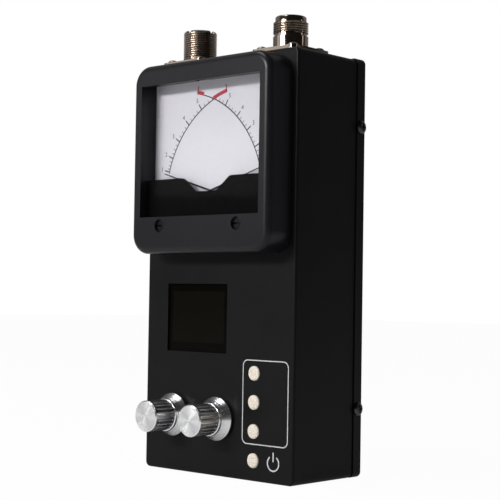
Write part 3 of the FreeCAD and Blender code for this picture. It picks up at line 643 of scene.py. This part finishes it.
def spun_shell(outer, inner):
    """A shell whose wall lies between two profiles of (radius, height) in mm."""
    mesh = bmesh.new()
    corners = [mesh.verts.new((radius * MM, 0, height * MM)) for radius, height in outer + inner[::-1]]
    edges = [mesh.edges.new(pair) for pair in zip(corners, corners[1:] + corners[:1])]
    spin_round(mesh, corners, edges, SEGMENTS)
    bmesh.ops.remove_doubles(mesh, verts=mesh.verts[:], dist=WELD)
    return mesh


def rows_between(radius, low, high):
    """Profile points up a straight wall, close enough together to carry a thread."""
    count = round((high - low) * THREAD_ROWS / THREAD_PITCH)
    return [(radius, low + (high - low) * index / count) for index in range(count + 1)]


def thread_dip(height, angle):
    """How far the thread lies below its crest at a height in mm and an angle."""
    turn = 2 * math.pi * height / THREAD_PITCH - angle
    return THREAD_DEPTH * ((1 + math.cos(turn)) / 2) ** 2


def cut_thread(mesh, low, high):
    """Move in the crest's points between two heights in mm, fading at both ends."""
    for vert in mesh.verts:
        radius = math.hypot(vert.co.x, vert.co.y)
        height = vert.co.z / MM
        if low <= height <= high and math.isclose(radius / MM, CREST, abs_tol=0.01):
            fade = min(1.0, (height - low) / THREAD_FADE, (high - height) / THREAD_FADE)
            dip = thread_dip(height, math.atan2(vert.co.y, vert.co.x))
            new_radius = radius - dip * fade * MM
            vert.co.x *= new_radius / radius
            vert.co.y *= new_radius / radius

# %% [markdown]
# Each shell has a square flange with rounded corners, held to the box by four screws. A
# cube scaled to a plate and bevelled on its four upright edges is the shortest way to it.
# The left jack's rim also has four notches, where a plug's teeth lock it: rim points that
# lie near the X or the Y axis are lowered.

# %% Flange and rim notches
FLANGE_THICK = 1.8
FLANGE_SIDE = 25.4
FLANGE_CORNER = 2.2
NOTCH_HALF = 0.95
NOTCH_DEEP = 1.2
NOTCH_REACH = 1.25
flange_low = case_high.z / MM
flange_top = flange_low + FLANGE_THICK


def added_since(mesh, before):
    """The vertices that a mesh has gained, in their own order."""
    return [vert for vert in mesh.verts if vert not in before]


def add_flange(mesh):
    before = set(mesh.verts)
    plate = bmesh.ops.create_cube(mesh, size=1.0)["verts"]
    bmesh.ops.scale(mesh, verts=plate, vec=(FLANGE_SIDE * MM, FLANGE_SIDE * MM, FLANGE_THICK * MM))
    upright = [edge for edge in mesh.edges if set(edge.verts) <= set(plate)
               and abs(edge.verts[0].co.z - edge.verts[1].co.z) > FLANGE_THICK * MM / 2]
    bmesh.ops.bevel(mesh, geom=upright, offset=FLANGE_CORNER * MM, offset_type="OFFSET", segments=6,
                    profile=0.5, affect="EDGES", material=-1)
    bmesh.ops.translate(mesh, verts=added_since(mesh, before),
                        vec=(0, 0, (flange_low + FLANGE_THICK / 2) * MM))


def cut_notches(mesh):
    top = max(vert.co.z for vert in mesh.verts)
    for vert in mesh.verts:
        near_axis = min(abs(vert.co.x), abs(vert.co.y)) < NOTCH_HALF * MM
        if near_axis and vert.co.z > top - NOTCH_REACH * MM:
            vert.co.z = top - NOTCH_DEEP * MM


def shell_piece(mesh, name, node, axis):
    """Add the flange, move the shell to its axis and put it in the node's place."""
    add_flange(mesh)
    bmesh.ops.translate(mesh, verts=mesh.verts[:], vec=(axis.x, axis.y, 0))
    piece = solid_piece(mesh, name, nickel, SHELL_SHARP)
    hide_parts(node)

# %% [markdown]
# Both shells share the neck that passes through the box, the seat inside the flange and the
# crest of the thread. The left jack is the UHF type: a short plain relief above the flange,
# then thread up to a chamfered rim, and a wide mouth down to the insulator.

# %% Left jack
NECK = 5.9
FOOT_GAP = 0.1
SEAT_LOW, SEAT_HIGH = 0.4, 0.2
so239_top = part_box("so239_shell")[1].z / MM
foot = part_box("so239_shell")[0].z / MM + FOOT_GAP
RELIEF, RELIEF_HIGH = 0.5, 1.4
THREAD_ABOVE_FLANGE = 1.7
CHAMFER_HIGH, CHAMFER_DEEP = 0.8, 0.6
SO239_BORE, SO239_MOUTH = 4.05, 6.45
SO239_FLOOR, SO239_LIP = 9.45, 1.25

neck = [(NECK, foot), (NECK, flange_top - SEAT_LOW)]
so239_thread = (flange_top + THREAD_ABOVE_FLANGE, so239_top - CHAMFER_HIGH)
so239_outer = (neck
               + [(CREST - RELIEF, flange_top - SEAT_HIGH), (CREST - RELIEF, flange_top + RELIEF_HIGH)]
               + rows_between(CREST, *so239_thread)
               + [(CREST - CHAMFER_DEEP, so239_top)])
so239_inner = [(SO239_BORE, foot), (SO239_BORE, so239_top - SO239_FLOOR),
               (SO239_MOUTH, so239_top - SO239_FLOOR), (SO239_MOUTH, so239_top - SO239_LIP),
               (SO239_MOUTH, so239_top)]
so239 = spun_shell(so239_outer, so239_inner)
cut_thread(so239, *so239_thread)
cut_notches(so239)
shell_piece(so239, "so239_threaded_shell", "so239_shell", so239_middle)

# %% [markdown]
# The right jack is the N type: a plain barrel from the flange up to a groove, a short
# stretch of thread, and a narrower smooth nose. Its bore widens at the mouth. The heights
# below are all measured down from its rim.

# %% Right jack
n_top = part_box("n_shell")[1].z / MM
BARREL_DOWN = 9.1
GROOVE, GROOVE_LOW_DOWN, GROOVE_HIGH_DOWN = 0.7, 8.9, 7.9
THREAD_LOW_DOWN, THREAD_HIGH_DOWN = 7.7, 2.9
NOSE, NOSE_LOW_DOWN, NOSE_HIGH_DOWN = 0.9, 2.5, 0.4
RIM = 1.3
N_BORE, N_WELL, N_MOUTH = 3.05, 4.25, 5.4
WELL_DOWN, MOUTH_LOW_DOWN, MOUTH_HIGH_DOWN = 9.15, 1.0, 0.6

n_thread = (n_top - THREAD_LOW_DOWN, n_top - THREAD_HIGH_DOWN)
n_outer = (neck
           + [(CREST, flange_top - SEAT_HIGH), (CREST, n_top - BARREL_DOWN),
              (CREST - GROOVE, n_top - GROOVE_LOW_DOWN), (CREST - GROOVE, n_top - GROOVE_HIGH_DOWN)]
           + rows_between(CREST, *n_thread)
           + [(CREST - NOSE, n_top - NOSE_LOW_DOWN), (CREST - NOSE, n_top - NOSE_HIGH_DOWN),
              (CREST - RIM, n_top)])
n_inner = [(N_BORE, foot), (N_BORE, n_top - WELL_DOWN), (N_WELL, n_top - WELL_DOWN),
           (N_WELL, n_top - MOUTH_LOW_DOWN), (N_MOUTH, n_top - MOUTH_HIGH_DOWN), (N_MOUTH, n_top)]
n_shell = spun_shell(n_outer, n_inner)
cut_thread(n_shell, *n_thread)
shell_piece(n_shell, "n_threaded_shell", "n_shell", n_middle)

# %% [markdown]
# Pan head screws hold the cover and the jack flanges. A head is a dome with a cross recess:
# its profile is spun round, and the points inside the cross are pushed down. The head is
# made upright at the origin and then turned to the face that it stands on.

# %% A pan head
HEAD_RINGS = 14
HEAD_SEGMENTS = 48
HEAD_SHARP = 35
SUNK = 0.02
DOME_REACH = 0.94
DOME_POWER = 2.6
CROSS_HALF = 0.13
CROSS_REACH = 0.55
CROSS_DEPTH = 0.55
UP = Vector((0, 0, 1))


def dome(away, rise):
    """The dome's height in mm at a share of the head's radius."""
    return rise * math.sqrt(1 - (away * DOME_REACH) ** DOME_POWER)


def add_head(mesh, spot, out, radius, rise):
    """One pan head, sizes in mm, its underside at a spot and its face along out."""
    shares = [ring / HEAD_RINGS for ring in range(HEAD_RINGS + 1)]
    profile = [(radius * share, dome(share, rise)) for share in shares]
    profile += [(radius, -SUNK), (0, -SUNK)]
    before = set(mesh.verts)
    spoke = [mesh.verts.new((across * MM, 0, up * MM)) for across, up in profile]
    edges = [mesh.edges.new(pair) for pair in zip(spoke, spoke[1:])]
    spin_round(mesh, spoke, edges, HEAD_SEGMENTS)
    bmesh.ops.remove_doubles(mesh, verts=added_since(mesh, before), dist=WELD)
    made = added_since(mesh, before)
    for vert in made:
        narrow, long = sorted((abs(vert.co.x), abs(vert.co.y)))
        in_cross = narrow < radius * CROSS_HALF * MM and long < radius * CROSS_REACH * MM
        if vert.co.z > 0 and in_cross:
            vert.co.z -= rise * CROSS_DEPTH * MM
    turn = UP.rotation_difference(out).to_matrix().to_4x4()
    bmesh.ops.transform(mesh, matrix=Matrix.Translation(spot) @ turn, verts=made)


def head_set(name, node, finish, places, radius, rise):
    """One piece of pan heads, from pairs of a spot and the way out of its face."""
    mesh = bmesh.new()
    for spot, out in places:
        add_head(mesh, spot, out, radius, rise)
    piece = solid_piece(mesh, name, finish, HEAD_SHARP)
    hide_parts(node)

# %% [markdown]
# Four black screws hold the cover at its sides, and four bright ones hold each flange. The
# flange's holes lie on a square round the jack's axis, as the solid model's do.

# %% All the screw heads
SIDE_SCREW_Y = 20.3
SIDE_SCREW_HEIGHTS = (31.0, 159.0)
SIDE_HEAD_RADIUS = 3.0
FLANGE_HEAD_RADIUS = 2.3
HEAD_RISE = 1.5
HOLE = 9.1

cover_x = cover_high.x - SUNK * MM
side_places = [(Vector((side * cover_x, SIDE_SCREW_Y * MM, height * MM)), Vector((side, 0, 0)))
               for side in (-1, 1) for height in SIDE_SCREW_HEIGHTS]
head_set("side_screw_heads", "side_screws", black_screw, side_places, SIDE_HEAD_RADIUS, HEAD_RISE)
for name, node, axis in (("so239_screw_heads", "so239_screws", so239_middle),
                         ("n_screw_heads", "n_screws", n_middle)):
    places = [(Vector((axis.x + across * HOLE * MM, axis.y + along * HOLE * MM, flange_top * MM)), UP)
              for across in (-1, 1) for along in (-1, 1)]
    head_set(name, node, nickel_screw, places, FLANGE_HEAD_RADIUS, HEAD_RISE)

# %% [markdown]
# The stage is a plain pale floor. Its white comes from its colour as camera and glass rays
# see it, with a share of that white in mirrors, while the light that it sends to the box
# stays at a plain level. What is left of the grey floor under the white keeps the shadow.

# %% Floor
bpy.context.scene.view_settings.view_transform = "Standard"
FLOOR_SIZE = 3
WHITE_SEEN = 0.97
WHITE_MIRRORED = 0.3
floor_mesh = bmesh.new()
bmesh.ops.create_grid(floor_mesh, x_segments=1, y_segments=1, size=FLOOR_SIZE)
bmesh.ops.translate(floor_mesh, verts=floor_mesh.verts[:], vec=(0, 0, cad_box[0][2]))
floor_data = bpy.data.meshes.new("floor")
floor_mesh.to_mesh(floor_data)
floor_mesh.free()
floor = bpy.data.objects.new("floor", floor_data)
bpy.context.scene.collection.objects.link(floor)

pale = plain("floor_pale", (0.70, 0.70, 0.70), 0.8, grain=4)
glow = pale.node("ShaderNodeEmission", inputs={"Color": (1, 1, 1), "Strength": 1.0})
rays = pale.node("ShaderNodeLightPath").socket.node.outputs
seen_directly = Wire(pale.tree, rays["Is Camera Ray"]) + Wire(pale.tree, rays["Is Transmission Ray"])
mirrored_floor = Wire(pale.tree, rays["Is Glossy Ray"]) * WHITE_MIRRORED
whiteness = seen_directly.clamp() * WHITE_SEEN + mirrored_floor
blend = pale.node("ShaderNodeMixShader",
                  inputs={0: whiteness, 1: Wire(pale.tree, pale.shader.outputs[0]), 2: glow})
pale.tree.links.new(blend.socket, pale.tree.nodes["Material Output"].inputs["Surface"])
floor_data.materials.append(pale.material)
print("floor", 2 * FLOOR_SIZE, "m wide")

# %% [markdown]
# The world is three skies in one. Camera and glass rays see white, plain surfaces get a
# soft even light, and metal mirrors a third sky: grey behind the box and to its left, and
# dark elsewhere, as where a studio hangs black cloth. So polished metal gets dark cores and
# the black side stays black. A lamp or a card for each would also light the plain surfaces.

# %% World
AMBIENT = 0.28
BACK_SLOPE = 2.2
RIGHT_SLOPE = 2.4
GREY_EDGE = 0.15
MIRRORED_GREY = 0.28
MIRRORED_DARK = 0.015
WHITE = (1, 1, 1)
world = bpy.data.worlds.new("studio")
bpy.context.scene.world = world
world.use_nodes = True
sky = world.node_tree


def sky_node(kind, **inputs):
    node = sky.nodes.new(kind)
    for key, value in inputs.items():
        feed(sky, node.inputs[key], value)
    return Wire(sky, node.outputs[0])


def blend_skies(factor, first, second):
    node = sky.nodes.new("ShaderNodeMixShader")
    for slot, value in zip(node.inputs, (factor, first, second)):
        feed(sky, slot, value)
    return Wire(sky, node.outputs[0])


direction = sky_node("ShaderNodeSeparateXYZ", Vector=sky_node("ShaderNodeTexCoord")).socket.node
to_right = Wire(sky, direction.outputs["X"])
to_back = Wire(sky, direction.outputs["Y"])
behind = (to_back * BACK_SLOPE - to_right * RIGHT_SLOPE - GREY_EDGE).clamp()
mirrored_sky = sky_node("ShaderNodeBackground", Color=WHITE,
                        Strength=behind * MIRRORED_GREY + MIRRORED_DARK)
white_sky = sky_node("ShaderNodeBackground", Color=WHITE, Strength=1.0)
soft_sky = sky_node("ShaderNodeBackground", Color=WHITE, Strength=AMBIENT)
sky_rays = sky.nodes.new("ShaderNodeLightPath").outputs
direct = (Wire(sky, sky_rays["Is Camera Ray"]) + Wire(sky, sky_rays["Is Transmission Ray"])).clamp()
lit_sky = blend_skies(Wire(sky, sky_rays["Is Glossy Ray"]), soft_sky, mirrored_sky)
whole_sky = blend_skies(direct, lit_sky, white_sky)
sky.links.new(whole_sky.socket, sky.nodes["World Output"].inputs["Surface"])
print("even light", AMBIENT)

# %% [markdown]
# Four soft lamps. The key is a wide, shallow box in front and above, so the bezel's shadow
# on the dial is crisp at the top and soft at the left, and the jacks mirror it as a tall
# stripe. A faint card on the left is what the bezel mirrors at its top, and a card overhead
# lights the tops of the knobs' skirts and of the bezel. A thin strip behind on the right
# draws one line on the jacks and is too small to lift the black side.

# %% Lamps
def lamp(name, place, aim, size, power):
    data = bpy.data.lights.new(name, "AREA")
    data.shape = "RECTANGLE"
    data.size, data.size_y = size
    data.energy = power
    lamp_object = bpy.data.objects.new(name, data)
    bpy.context.scene.collection.objects.link(lamp_object)
    lamp_object.location = place
    lamp_object.rotation_euler = (Vector(aim) - Vector(place)).to_track_quat("-Z", "Y").to_euler()
    print(name, power, "W")


lamp("key", place=(-0.22, -1.0, 0.46), aim=(0, 0, 0.12), size=(0.46, 0.13), power=8.2)
lamp("left_card", place=(-0.8, -0.85, 0.34), aim=(0, 0, 0.10), size=(0.50, 0.26), power=0.42)
lamp("top_card", place=(-0.18, -0.32, 0.85), aim=(0, 0, 0.10), size=(0.5, 0.22), power=2.4)
lamp("right_strip", place=(0.80, 0.57, 0.42), aim=(0, 0, 0.20), size=(0.05, 0.25), power=0.12)
